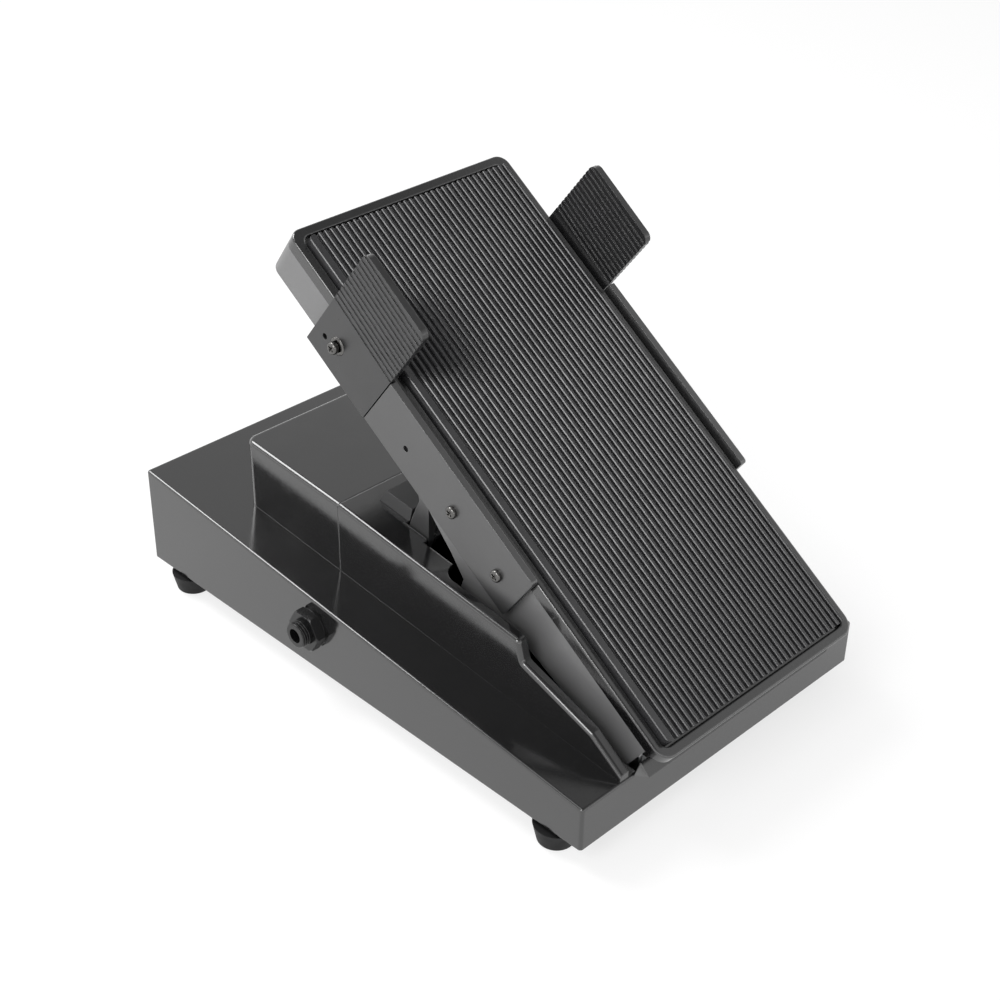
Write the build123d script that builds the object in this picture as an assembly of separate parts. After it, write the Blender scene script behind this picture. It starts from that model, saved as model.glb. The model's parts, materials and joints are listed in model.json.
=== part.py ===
# Expression pedal: a folded wedge case with a raised hood, a tilting treadle and two side kick paddles.
# The case frame has X to the right, Y from the heel to the toe and Z up, with its corner at the front left.
# The treadle frame has x to the right, y along the tread from heel to toe and z out of the tread.
from build123d import *
import math
import os

# Case
case_length = 262.0
case_width = 164.0
case_front_height = 19.7
case_rear_height = 45.5
sheet = 1.5
case_corner_radius = 1.4
case_edge_radius = 1.1
inner_corner_radius = 0.5
inner_edge_radius = 0.3
lip_start = 27.7
lip_full = 37.0
lip_height = 12.8
lip_depth = 4.6
opening_left = 30.0
opening_right_inset = 10.0
opening_rear = 200.0
flange_width = 9.0
flange_height = 9.0
flange_inset = 34.0
base_screw_inset = 48.0
base_gap = 0.3

# Feet
foot_height = 10.5
foot_neck_height = 2.0
foot_neck_radius = 5.0
foot_radius = 9.3
foot_tip_radius = 7.4
foot_tip_round = 1.2
foot_side_inset = 7.0
foot_end_inset = 18.5
foot_bore_radius = 4.6
foot_bore_depth = 4.0

# Hood
hood_left = 21.0
hood_right_inset = 2.5
hood_wall = 1.6
hood_front = 0.7
hood_rear = 217.0
hood_rear_top = 73.0
hood_seam = 157.0
hood_seam_top = 67.8
hood_step = 54.5
hood_step_top = 55.2
hood_rim_rear = 52.0
hood_rim_rear_top = 46.3
hood_rim_middle = 16.0
hood_rim_middle_top = 33.8
hood_front_top = 22.6
hood_edge_radius = 1.8
hood_bend_radius = 2.2
hood_corner_radius = 5.0
hood_rim_width = 4.6
hood_open_rear = 101.5
hood_open_corner = 7.0
hood_open_gap = 0.5
seam_gap = 0.15
strip_width = 14.0
strip_thickness = 1.2
strip_inset = 4.0
hood_screw_rows = (70.0, 130.0, 190.0)
hood_tab_half_length = 6.0
hood_tab_gap = 0.5

# Treadle
tilt = 34.75
heel_y = -10.0
heel_z = 28.4
treadle_left = 32.8
treadle_right_inset = 12.8
treadle_length = 249.9
treadle_sheet = 1.5
heel_corner = 7.0
toe_corner = 5.5
rim_depth = 5.0
rim_width = 4.4
rim_round = 0.9
rim_inner_round = 0.7
tray_depth = 2.4
skirt_depth = 21.0
skirt_start = 8.0
belly_depth = 42.0
belly_front = 88.0
belly_rear = 102.0
belly_knee = 68.0
belly_knee_depth = 28.6
belly_front_depth = 22.6
belly_slope = ((172.0, 21.0), (130.7, 30.0), (113.4, 33.9), (103.0, 37.4))

# Tread mat
mat_side = 4.6
mat_heel = 5.3
mat_toe = 6.3
mat_base = 4.2
mat_rib_height = 1.6
mat_rib_pitch = 2.99
mat_rib_width = 1.6
mat_rib_edge = 0.4
mat_first_rib = 5.9
mat_border = 3.5
mat_corner = 2.2

# Treadle hinge
hinge_y = 12.0
hinge_z = 24.0
axle_radius = 3.0
running_clearance = 0.05
bush_wall = 1.0
bush_flange = 1.0
bush_flange_radius = 5.5
bracket_sheet = 2.0
hinge_bracket_left = 37.5
hinge_bracket_width = 22.0
hinge_bracket_leg = 16.0
hinge_ear_radius = 6.0
hinge_screw_inset = 5.0
hinge_screw_rows = (-2.0, 10.0)
treadle_travel = 7.0
washer_thickness = 0.8
friction_washer_radius = 5.4
washer_gap = 0.1
clip_radius = 5.0
clip_thickness = 1.0
clip_gap = 0.4
axle_end_inset = 3.2
channel_start = 8.0
channel_end = 34.0
channel_ear_radius = 6.0
rivet_inset = 6.0
rivet_shares = (0.22, 0.41, 0.59, 0.78)
rivet_head_radius = 2.1
rivet_head_height = 0.9

# Sector drive
module = 0.8
sector_teeth = 320
pinion_teeth = 17
pressure_angle = 20.0
backlash = 0.10
mesh_gap = 0.12
pinion_angle = 8.5
sector_first_angle = 5.4
sector_last_angle = 17.0
arm_thickness = 3.0
arm_left = 35.0
arm_width = 11.4
arm_rim_drop = 3.7
arm_bend_height = 55.0
arm_head_reach = 120.0
arm_head_height = 103.0
arm_flange_width = 13.0
arm_flange_length = 24.0
stop_pin_radius = 1.5
stop_pin_angle = 17.0
stop_pin_inset = 5.1
stop_pin_length = 11.0
stop_gap = 0.3

# Slot collar
collar_left = 34.1
collar_width = 5.2
collar_front_gap = 0.4
collar_base = 0.6
collar_block_left = 36.6
collar_block_right = 52.0
collar_block_length = 18.0
collar_block_height = 5.0
collar_block_lean = 1.8
slot_side_gap = 0.4
slot_end_gap = 0.6

# Potentiometer
pinion_width = 5.0
shaft_radius = 3.0
pot_radius = 8.5
pot_depth = 9.0
pot_bush_radius = 3.9
pot_bush_length = 5.5
pot_bracket_left = 43.0
pot_bracket_width = 22.0
pot_bracket_leg = 14.0
pot_bracket_corner = 5.0
pot_screw_inset = 5.0
pot_screw_reach = 6.0
pot_shaft_start = 0.8
pot_shaft_end = 3.5
pot_bore_end = 3.8
pot_can_round = 1.0
pot_nut_flats = 11.0
pot_nut_height = 2.0
pot_lug_steps = (-4.0, 0.0, 4.0)
pot_lug_width = 2.0
pot_lug_thickness = 0.8
pot_lug_length = 6.0
pot_lug_inset = 2.0

# Jacks
jack_hole_radius = 3.2
jack_bush_radius = 5.5
jack_bush_length = 9.5
jack_nut_flats = 16.0
jack_nut_height = 4.5
jack_washer_radius = 8.4
jack_washer_height = 0.8
jack_body_width = 16.0
jack_body_height = 18.0
jack_body_length = 22.0
jack_body_round = 1.5
jack_bush_round = 0.5
jack_end_wall = 2.0
jack_nut_cone = 0.55
jack_lug_places = ((-4.0, 5.0), (4.0, 5.0), (0.0, -5.0))
jack_lug_width = 2.0
jack_lug_thickness = 0.8
jack_lug_length = 5.0
side_jack_y = 150.5
side_jack_z = 20.8
rear_jack_z = 22.0

# Kick brackets and paddles
kick_gap = 1.0
kick_thickness = 3.0
bracket_front = 81.0
bracket_top = 3.0
bracket_bottom = 24.0
bracket_corner = 1.5
bracket_screw_depth = 12.0
bracket_screws = (93.5, 123.3)
bracket_hole_place = (154.1, 13.2)
paddle_front = 176.0
paddle_corners = ((176.4, -24.6), (216.2, -24.2), (213.9, 37.4), (174.4, 36.4))
paddle_corner = 3.5
paddle_gap = 0.5
rib_start = (178.0, 3.9)
rib_count = 12
rib_tilt = 3.4
rib_pitch = 2.71
rib_groove = 1.2
rib_depth = 0.55
kick_axis_inset = 2.0
kick_knuckle_radius = 2.5
kick_knuckle_top = 6.0
kick_knuckle_bottom = 18.0
kick_pin_radius = 1.0
stop_screw_place = (202.7, 11.1)
stop_screw_radius = 2.0
paddle_hole_radius = 2.6
stop_head_gap = 1.1
spring_washer_height = 0.5
spring_washer_radius = 4.0
spring_washer_top = 3.2
spring_washer_gap = 0.5
spacer_radius = 4.0
pilot_hole_place = (209.6, 13.9)
pilot_hole_radius = 1.3
switch_place = (190.0, 12.0)
switch_size = 6.0
switch_height = 3.4
switch_board_size = (16.0, 10.0, 1.2)
switch_board_inset = 7.0
switch_stud_spacing = 11.0
plunger_radius = 1.6
plunger_gap = 0.2

# Screws and nuts
small_shank = 1.0
small_head = 2.0
small_head_height = 1.2
medium_shank = 1.5
medium_head = 2.6
medium_head_height = 1.8
large_shank = 2.0
large_head = 4.0
large_head_height = 2.6
driver_slot_share = 0.6
driver_reach_share = 1.1
head_round_share = 0.55
driver_depth = 0.9
hole_clearance = 0.2
screw_end = 0.6
kick_nut_flats = 5.5
kick_nut_height = 2.4
foot_nut_flats = 7.0
foot_nut_height = 3.2
foot_screw_end = 4.0

# Rubber stops
bumper_height = 5.0
bumper_half_length = 5.0
bumper_half_width = 2.8

# Terminal board
board_length = 46.0
board_width = 26.0
board_thickness = 1.6
board_rear_inset = 40.0
board_hole_inset = 4.0
standoff_height = 6.0
standoff_radius = 2.8

# Worked out from the sizes above
far = 2 * case_length
opening_right = case_width - opening_right_inset
hood_right = case_width - hood_right_inset
treadle_width = case_width - treadle_left - treadle_right_inset
screw_sizes = {
    "small": (small_shank, small_head, small_head_height),
    "medium": (medium_shank, medium_head, medium_head_height),
    "large": (large_shank, large_head, large_head_height),
}
tilt_radians = math.radians(tilt)
treadle_frame = Plane(
    origin=(treadle_left, heel_y, heel_z),
    x_dir=(1, 0, 0),
    z_dir=(0, -math.sin(tilt_radians), math.cos(tilt_radians)),
)
hinge_local = treadle_frame.to_local_coords(Vector(treadle_left, hinge_y, hinge_z))
treadle_right = treadle_left + treadle_width
treadle_middle = treadle_left + treadle_width / 2
pitch_radius = module * sector_teeth / 2
pinion_radius = module * pinion_teeth / 2
mesh_distance = pitch_radius + pinion_radius + mesh_gap
arm_outer_radius = pitch_radius - arm_rim_drop
arm_inner_radius = arm_outer_radius - arm_width
stop_pin_reach = arm_inner_radius + stop_pin_inset
board_place = (treadle_middle, case_length - board_rear_inset)
bush_radius = axle_radius + running_clearance + bush_wall
floor_underside = tray_depth + treadle_sheet


def case_top(y):
    """Height of the case's top plate."""
    return case_front_height + (case_rear_height - case_front_height) * y / case_length


def hood_top(y):
    """Height of the hood's top, ahead of its seam."""
    slope = (hood_seam_top - hood_step_top) / (hood_seam - hood_step)
    return hood_seam_top + slope * (y - hood_seam)


def around_hinge(radius, angle):
    """Point in the YZ plane at an angle in degrees above level, round the treadle's hinge."""
    turn = math.radians(angle)
    return (hinge_y + radius * math.cos(turn), hinge_z + radius * math.sin(turn))


def box(x0, x1, y0, y1, z0, z1):
    """Box from its limits."""
    centre = ((x0 + x1) / 2, (y0 + y1) / 2, (z0 + z1) / 2)
    return Pos(*centre) * Box(x1 - x0, y1 - y0, z1 - z0)


def prism_x(points, x0, x1):
    """Solid with a YZ outline, from x0 to x1."""
    face = make_face(Polyline(*points, close=True))
    return extrude(Plane.YZ.offset(x0) * face, amount=x1 - x0)


def prism_z(outline, z0, z1):
    """Solid with a flat outline, from z0 to z1."""
    return extrude(Pos(0, 0, z0) * outline, amount=z1 - z0)


def rod_x(radius, x0, x1, y, z):
    """Round bar along X."""
    return Pos((x0 + x1) / 2, y, z) * Rot(0, 90, 0) * Cylinder(radius, x1 - x0)


def rod_z(radius, z0, z1, x, y):
    """Round bar along Z."""
    return Pos(x, y, (z0 + z1) / 2) * Cylinder(radius, z1 - z0)


def tube_z(outer, inner, z0, z1, x, y):
    """Round tube along Z."""
    return rod_z(outer, z0, z1, x, y) - rod_z(inner, z0 - 1, z1 + 1, x, y)


def hexagon(flats, z0, z1):
    """Hexagonal bar along Z."""
    return prism_z(RegularPolygon(flats / math.sqrt(3), 6), z0, z1)


def pan_screw(size, length):
    """Cross-recessed pan head screw: its head is above z = 0 and its shank below."""
    shank, head, height = screw_sizes[size]
    dome = rod_z(head, 0, height, 0, 0)
    dome = fillet(dome.edges().group_by(Axis.Z)[-1], height * head_round_share)
    arm = head * driver_reach_share
    slot = driver_slot_share * shank
    cross = Box(arm, slot, driver_depth) + Box(slot, arm, driver_depth)
    return dome + rod_z(shank, -length, 0, 0, 0) - Pos(0, 0, height - driver_depth / 2) * cross


def facing(axis, place):
    """Location whose Z axis points along a given axis."""
    return Plane(origin=place, z_dir=axis).location


def on_treadle(shape):
    """Move a shape from the treadle frame into the case frame."""
    return shape.moved(treadle_frame.location)


def mirrored(shape):
    """The same piece for the treadle's right side, in the treadle frame."""
    return mirror(shape, Plane.YZ.offset(treadle_width / 2))


parts = {}


# Case shell
def wedge(inset, bottom):
    """The case's outline as a solid, drawn in by an inset and cut off at the bottom."""
    outline = [
        (inset, bottom),
        (case_length - inset, bottom),
        (case_length - inset, case_top(case_length - inset) - inset),
        (inset, case_top(inset) - inset),
    ]
    solid = prism_x(outline, inset, case_width - inset)
    corner = max(case_corner_radius - inset, inner_corner_radius)
    solid = fillet(solid.edges().filter_by(Axis.Z), corner)
    top_edges = [e for e in solid.edges() if e.center().Z > case_front_height - 2 * sheet]
    return fillet(top_edges, max(case_edge_radius - inset, inner_edge_radius))


def case_shell():
    shell = wedge(0, 0) - wedge(sheet, -1)
    opening = box(opening_left, opening_right, sheet, opening_rear, lip_height, case_rear_height + 1)
    far_full = opening_left + opening_right - lip_full
    far_end = opening_left + opening_right - lip_start
    front = Polyline(
        (lip_start, case_front_height + 1),
        (lip_start, case_front_height),
        (lip_full, lip_height),
        (far_full, lip_height),
        (far_end, case_front_height),
        (far_end, case_front_height + 1),
        close=True,
    )
    notch = extrude(Plane.XZ * make_face(front), amount=-sheet)
    notch += extrude(Plane.XZ * make_face(front), amount=1)
    lip = prism_x(
        [
            (0, lip_height),
            (lip_depth, lip_height + lip_depth),
            (lip_depth + sheet * 0.7, lip_height + lip_depth - sheet * 0.7),
            (sheet, lip_height - sheet * 0.4),
            (sheet, lip_height - sheet),
            (0, lip_height - sheet),
        ],
        lip_full,
        far_full,
    )
    fold = make_face(Polyline(
        (lip_start, 0, case_front_height),
        (lip_full, 0, lip_height),
        (lip_full, lip_depth, lip_height + lip_depth),
        close=True,
    ))
    fold = Solid.extrude(fold.face(), Vector(0, sheet * 0.7, -sheet * 0.7))
    middle = (opening_left + opening_right) / 2
    shell = shell - opening - notch + lip + fold + mirror(fold, Plane.YZ.offset(middle))
    for side in (0, 1):
        x0 = sheet if side == 0 else case_width - sheet - flange_width
        x1 = x0 + flange_width
        wall = sheet if side == 0 else case_width - 2 * sheet
        z0 = sheet + base_gap
        y0, y1 = flange_inset, case_length - flange_inset
        shell += box(x0, x1, y0, y1, z0, z0 + sheet)
        shell += box(wall, wall + sheet, y0, y1, z0, z0 + flange_height)
        for y in base_screw_rows():
            shell -= rod_z(medium_shank, 0, flange_height, (x0 + x1) / 2, y)
    shell -= rod_x(jack_bush_radius, -1, sheet + 1, side_jack_y, side_jack_z)
    rear_hole = Pos(treadle_middle, case_length, rear_jack_z) * Rot(90, 0, 0)
    shell -= rear_hole * Cylinder(jack_bush_radius, 4 * sheet)
    for place in hood_screw_places():
        shell -= Cylinder(medium_shank + hole_clearance, 4 * sheet).moved(hood_screw_line(*place))
    return shell


def base_screw_rows():
    return [base_screw_inset, case_length / 2, case_length - base_screw_inset]


def base_screw_places():
    left = sheet + flange_width / 2
    return [(x, y) for x in (left, case_width - left) for y in base_screw_rows()]


def foot_places():
    rows = (foot_end_inset, case_length - foot_end_inset)
    columns = (foot_side_inset, case_width - foot_side_inset)
    names = ("foot_front_left", "foot_front_right", "foot_rear_left", "foot_rear_right")
    return dict(zip(names, [(x, y) for y in rows for x in columns]))


def hood_screw_places():
    left = (hood_left + hood_wall + opening_left) / 2
    right = (opening_right + hood_right - hood_wall) / 2
    return [(x, y) for x in (left, right) for y in hood_screw_rows]


def hood_screw_line(x, y):
    """Location of a hood screw's seat under the sloping top plate, with its Z axis out of the head."""
    rise = math.atan((case_rear_height - case_front_height) / case_length)
    seat = case_top(y) - sheet / math.cos(rise)
    return facing((0, math.sin(rise), -math.cos(rise)), (x, y, seat))


# Base plate, feet and their fasteners
def base_plate():
    edge = sheet + base_gap
    plate = box(edge, case_width - edge, edge, case_length - edge, 0, sheet)
    plate = fillet(plate.edges().filter_by(Axis.Z), inner_corner_radius)
    for x, y in base_screw_places() + floor_screw_places():
        plate -= rod_z(medium_shank + hole_clearance, -1, 3, x, y)
    for x, y in foot_places().values():
        plate -= rod_z(large_shank + hole_clearance, -1, 3, x, y)
    return plate


def foot(x, y):
    """Tapered rubber foot: a short neck under the base plate, and a bore for its screw's head."""
    cone_height = foot_height - foot_neck_height
    cone = Pos(x, y, -foot_height) * Solid.make_cone(foot_tip_radius, foot_radius, cone_height)
    cone = fillet(cone.edges().group_by(Axis.Z)[0], foot_tip_round)
    cone += rod_z(foot_neck_radius, -foot_neck_height - 0.5, 0, x, y)
    cone -= rod_z(large_shank + hole_clearance, -foot_height - 1, 1, x, y)
    return cone - rod_z(foot_bore_radius, -foot_height - 1, foot_seat(), x, y)


def foot_seat():
    return -foot_height + foot_bore_depth


# Hood
def hood_block(inset, bottom):
    """The hood's outline as a solid, drawn in by an inset."""
    rise = case_top(0) - bottom
    outline = [
        (hood_front + inset, case_top(hood_front) - rise),
        (hood_rear - inset, case_top(hood_rear) - rise),
        (hood_rear - inset, hood_rear_top - inset),
        (hood_seam, hood_seam_top - inset),
        (hood_step + inset * 0.6, hood_step_top - inset),
        (hood_rim_rear + inset * 0.6, hood_rim_rear_top - inset * 0.7),
        (hood_rim_middle, hood_rim_middle_top - inset),
        (hood_front + inset, hood_front_top - inset * 0.4),
    ]
    block = prism_x(outline, hood_left + inset, hood_right - inset)
    rear_edges = block.edges().filter_by(Axis.Z).group_by(Axis.Y)[-1]
    block = fillet(rear_edges, hood_corner_radius - inset)
    step_points = [(hood_step, hood_step_top), (hood_rim_rear, hood_rim_rear_top)]
    bends = []
    for edge in block.edges().filter_by(Axis.X):
        for y, z in step_points:
            if abs(edge.center().Y - y) < inset + 1 and abs(edge.center().Z - z) < inset + 1:
                bends.append(edge)
    block = fillet(bends, hood_bend_radius)
    rims = []
    for edge in block.edges():
        middle = edge.center()
        side = abs(middle.X - hood_left - inset) < 0.01 or abs(middle.X - hood_right + inset) < 0.01
        raised = middle.Z > case_top(middle.Y) + 3.0
        if raised and side and abs(edge.tangent_at(0.5).Z) < 0.9:
            rims.append(edge)
    return fillet(rims, hood_edge_radius - inset)


def hood_opening():
    """Everything that is cut from the hood's top: the treadle's bay and the arm's slot."""
    bay = box(hood_left + hood_rim_width, hood_right - hood_rim_width, -1, hood_open_rear, 0, far)
    bay = fillet(bay.edges().filter_by(Axis.Z).group_by(Axis.Y)[-1], hood_open_corner)
    bay += box(treadle_left - hood_open_gap, treadle_right + hood_open_gap,
               hood_open_rear - hood_open_corner - 1, arm_edge(), 0, far)
    return bay + box(arm_left - slot_side_gap, arm_left + arm_thickness + slot_side_gap,
                     arm_edge() - 1, arm_slot_rear(), 0, far)


def arm_slot_rear():
    """Rear end of the slot that the drive arm passes through, which is open to the bay in front."""
    level = hood_top(arm_edge()) - hood_wall - hinge_z
    return hinge_y + math.sqrt(arm_outer_radius**2 - level**2) + slot_end_gap


def arm_edge():
    """Front edge of the arm's upright part, where its arc meets the hood's top."""
    level = hood_top(hinge_y + arm_inner_radius) - hood_wall - hinge_z
    return hinge_y + math.sqrt(arm_inner_radius**2 - level**2)


def hood_pieces():
    shell = hood_block(0, case_top(0)) - hood_block(hood_wall, case_top(0) - 1)
    shell -= hood_opening()
    tabs = []
    for x, y in hood_screw_places():
        inner = hood_left + hood_wall / 2 if x < case_width / 2 else hood_right - hood_wall / 2
        outer = opening_left - hood_tab_gap if x < case_width / 2 else opening_right + hood_tab_gap
        x0, x1 = min(inner, outer), max(inner, outer)
        y0, y1 = y - hood_tab_half_length, y + hood_tab_half_length
        outline = [(y0, case_top(y0)), (y1, case_top(y1)),
                   (y1, case_top(y1) + hood_wall), (y0, case_top(y0) + hood_wall)]
        tab = prism_x(outline, x0, x1)
        tabs.append(tab - Cylinder(medium_shank, far).moved(hood_screw_line(x, y)))
    for tab in tabs:
        shell += tab
    front = shell - box(-far, far, hood_seam, far, 0, far)
    rear = shell - box(-far, far, -far, hood_seam + seam_gap, 0, far)
    return front, rear


def hood_strip():
    """Joint strip under the seam between the two hoods."""
    y0, y1 = hood_seam - strip_width / 2, hood_seam + strip_width / 2
    level = hood_seam_top - hood_wall
    front_slope = (hood_seam_top - hood_step_top) / (hood_seam - hood_step - hood_wall * 0.6)
    rear_slope = (hood_rear_top - hood_seam_top) / (hood_rear - hood_wall - hood_seam)
    top = [
        (y0, level - front_slope * (hood_seam - y0)),
        (hood_seam, level),
        (y1, level + rear_slope * (y1 - hood_seam)),
    ]
    under = [(y, z - strip_thickness) for y, z in reversed(top)]
    inset = hood_wall + strip_inset
    return prism_x(top + under, hood_left + inset, hood_right - inset)


def slot_collar():
    """Thin base round the arm's slot, with a tapered block behind the arm."""
    rise = math.atan((hood_seam_top - hood_step_top) / (hood_seam - hood_step))
    seat = Plane(origin=(0, 0, hood_top(0)), x_dir=(1, 0, 0), z_dir=(0, -math.sin(rise), math.cos(rise)))
    front = (arm_edge() + collar_front_gap) / math.cos(rise)
    middle = arm_slot_rear() / math.cos(rise)
    rear = middle + collar_block_length / math.cos(rise)
    base = box(collar_left, collar_left + collar_width, front, middle + 1, 0, collar_base)
    lean = collar_block_lean
    tall = collar_block_height
    low = [(collar_block_left, 0), (collar_block_right, 0)]
    high = [(collar_block_right - lean, tall), (collar_block_left + lean, tall)]
    across_block = extrude(Plane.XZ * make_face(Polyline(*low, *high, close=True)), amount=-rear)
    low = [(middle, 0), (rear, 0)]
    high = [(rear - lean, tall), (middle + lean / 2, tall)]
    block = across_block & prism_x([*low, *high], 0, case_width)
    hole = box(arm_left - slot_side_gap, arm_left + arm_thickness + slot_side_gap,
               arm_edge(), arm_slot_rear(), 0, far)
    return (base + block).moved(seat.location) - hole


# Treadle
def corner_fillets(face, heel_radius, toe_radius):
    """Round a rectangle's two heel corners and two toe corners."""
    middle = face.center().Y
    heel = [v for v in face.vertices() if v.Y < middle]
    face = fillet(heel, heel_radius)
    toe = [v for v in face.vertices() if v.Y > middle + 1 and abs(v.Y - face.bounding_box().max.Y) < 0.001]
    return fillet(toe, toe_radius)


def plate_plan(x0, x1, y0, y1, heel_radius, toe_radius):
    """Rectangle with round corners."""
    face = Pos((x0 + x1) / 2, (y0 + y1) / 2) * Rectangle(x1 - x0, y1 - y0)
    return corner_fillets(face, heel_radius, toe_radius)


def treadle_pan():
    width, length = treadle_width, treadle_length
    rim = prism_z(plate_plan(0, width, 0, length, heel_corner, toe_corner), -rim_depth, 0)
    rim = fillet(rim.edges().group_by(Axis.Z)[-1], rim_round)
    tray = plate_plan(rim_width, width - rim_width, rim_width, length - rim_width,
                      heel_corner - rim_width, toe_corner - rim_width / 2)
    rim -= prism_z(tray, -tray_depth, 1)
    inner_rim = [e for e in rim.edges().group_by(Axis.Z)[-1] if on_line_inside(e)]
    rim = fillet(inner_rim, rim_inner_round)
    t = treadle_sheet
    under = plate_plan(t, width - t, t, length - t, heel_corner - t, toe_corner - t)
    pan = rim - prism_z(under, -rim_depth - 1, -floor_underside)
    skirt = prism_z(skirt_plan(0), -skirt_depth, -rim_depth) - prism_z(skirt_plan(t), -skirt_depth - 1, 0)
    skirt -= box(t, width - t, 0, skirt_start + 2 * heel_corner, -far, 0)
    pan += skirt
    belly = [
        (skirt_start, -skirt_depth),
        *[(u, -depth) for u, depth in belly_slope],
        (belly_rear, -belly_depth + 0.5),
        (belly_front, -belly_depth),
        (belly_knee, -belly_knee_depth),
        (skirt_start + 4, -belly_front_depth),
        (skirt_start, -skirt_depth - 0.2),
    ]
    for x0 in (0, width - t):
        pan += prism_x(belly, x0, x0 + t)
    for side in (0, 1):
        cut = kick_cuts()
        pan -= mirrored(cut) if side else cut
    return pan


def on_line_inside(edge):
    """Whether an edge of the rim's top lies on the tray's side."""
    place = edge @ 0.5
    near = min(place.X, treadle_width - place.X, place.Y, treadle_length - place.Y)
    return near > (rim_round + rim_width) / 2


def skirt_plan(inset):
    """Plan of the skirt: open at the heel, round at the toe."""
    face = Pos(treadle_width / 2, (skirt_start + treadle_length - inset) / 2) * Rectangle(
        treadle_width - 2 * inset, treadle_length - inset - skirt_start)
    toe = [v for v in face.vertices() if v.Y > treadle_length / 2]
    return fillet(toe, toe_corner - inset)


def kick_cuts():
    """Holes and window in the left side wall for the bracket, paddle and switch."""
    u0 = paddle_front
    cut = box(-1, treadle_sheet + 1, u0 - 5, u0 + 4.6, -kick_knuckle_bottom - 0.6, -kick_knuckle_top + 0.6)
    for u in bracket_screws:
        cut += rod_x(medium_shank + 0.15, -1, treadle_sheet + 1, u, -bracket_screw_depth)
    u, d = stop_screw_place
    cut += rod_x(medium_shank, -1, treadle_sheet + 1, u, -d)
    u, d = switch_place
    cut += rod_x(plunger_radius + 0.3, -1, treadle_sheet + 1, u, -d)
    for side in (-1, 1):
        cut += rod_x(small_shank, -1, treadle_sheet + 1, u + side * switch_stud_spacing / 2, -d)
    return cut


def tread_mat():
    x0, x1 = mat_side, treadle_width - mat_side
    y0, y1 = mat_heel, treadle_length - mat_toe
    low = -tray_depth
    top = low + mat_base
    plan = plate_plan(x0, x1, y0, y1, mat_corner, mat_corner)
    mat = prism_z(plan, low, top)
    count = int((x1 - x0 - mat_first_rib - mat_rib_width / 2) / mat_rib_pitch) + 1
    middles = [x0 + mat_first_rib + index * mat_rib_pitch for index in range(count)]
    limits = [(x0, x0 + mat_border)]
    limits += [(x - mat_rib_width / 2, x + mat_rib_width / 2) for x in middles]
    ribs = []
    for left, right in limits:
        rib = box(left, right, y0, y1, top, top + mat_rib_height)
        ribs.append(chamfer(rib.faces().sort_by(Axis.Z)[-1].edges().filter_by(Axis.Y), mat_rib_edge))
    return mat.fuse(*[rib & prism_z(plan, low, top + mat_rib_height) for rib in ribs])


# Hinge of the treadle
def hinge_bracket(side):
    """Bracket on the base plate; side 0 is the left one."""
    x0 = hinge_bracket_left
    y0, y1 = hinge_y - hinge_ear_radius, hinge_y - hinge_ear_radius + hinge_bracket_width
    plate = box(x0, x0 + bracket_sheet, y0, hinge_y + hinge_ear_radius, sheet, hinge_z)
    plate += rod_x(hinge_ear_radius, x0, x0 + bracket_sheet, hinge_y, hinge_z)
    plate += box(x0, x0 + hinge_bracket_leg, y0, y1, sheet, sheet + bracket_sheet)
    plate -= rod_x(bush_radius, x0 - 1, x0 + 5, hinge_y, hinge_z)
    for x, y in hinge_bracket_screws():
        plate -= rod_z(medium_shank, 0, 9, x, y)
    return across(plate) if side else plate


def across(shape):
    """The same piece on the right, mirrored about the treadle's middle."""
    return mirror(shape, Plane.YZ.offset(treadle_middle))


def hinge_bracket_screws():
    x = hinge_bracket_left + hinge_bracket_leg - hinge_screw_inset
    return [(x, hinge_y + row) for row in hinge_screw_rows]


def floor_screw_places():
    """Screws through the base plate for the hinge and potentiometer brackets and the stop posts."""
    left = hinge_bracket_screws()
    right = [(2 * treadle_middle - x, y) for x, y in left]
    return left + right + pot_bracket_screws() + stop_post_places()


def hinge_bush():
    x0 = hinge_bracket_left
    bush = rod_x(bush_radius, x0, x0 + bracket_sheet + bush_flange, hinge_y, hinge_z)
    bush += rod_x(bush_flange_radius, x0 + bracket_sheet, x0 + bracket_sheet + bush_flange, hinge_y, hinge_z)
    return bush - rod_x(axle_radius + running_clearance, x0 - 1, x0 + 9, hinge_y, hinge_z)


def treadle_ear():
    """Left edge of the ear that holds the axle under the treadle."""
    return hinge_bracket_left + bracket_sheet + bush_flange + washer_thickness + 2 * washer_gap


def hinge_channel():
    """Channel under the tread whose two ears hold the axle, in the treadle frame."""
    x0 = treadle_ear() - treadle_left
    x1 = treadle_width - x0
    top = -floor_underside
    u, h = hinge_local.Y, hinge_local.Z
    channel = box(x0, x1, channel_start, channel_end, top - bracket_sheet, top)
    for left in (x0, x1 - bracket_sheet):
        ear = box(left, left + bracket_sheet, u - channel_ear_radius, u + channel_ear_radius,
                  h, top - bracket_sheet)
        channel += ear + rod_x(channel_ear_radius, left, left + bracket_sheet, u, h)
    channel -= rod_x(axle_radius, x0 - 1, x1 + 1, u, h)
    for x, y in channel_rivet_places():
        channel -= rod_z(small_shank, -far, 0, x, y)
    return channel


def channel_rivet_places():
    return [(treadle_width * share, channel_end - rivet_inset) for share in rivet_shares]


def channel_rivets():
    """Blind rivets holding the channel to the tread floor."""
    top = -floor_underside
    rivets = []
    for x, y in channel_rivet_places():
        shank = rod_z(small_shank, top - bracket_sheet, top, x, y)
        head = rod_z(rivet_head_radius, top - bracket_sheet - rivet_head_height, top - bracket_sheet, x, y)
        rivets.append(shank + head)
    return Compound(children=rivets)


def hinge_axle():
    x0, x1 = treadle_left + axle_end_inset, treadle_right - axle_end_inset
    return rod_x(axle_radius, x0, x1, hinge_y, hinge_z)


def ring_x(outer, inner, x0, x1, y, z):
    return rod_x(outer, x0, x1, y, z) - rod_x(inner, x0 - 1, x1 + 1, y, z)


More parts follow.
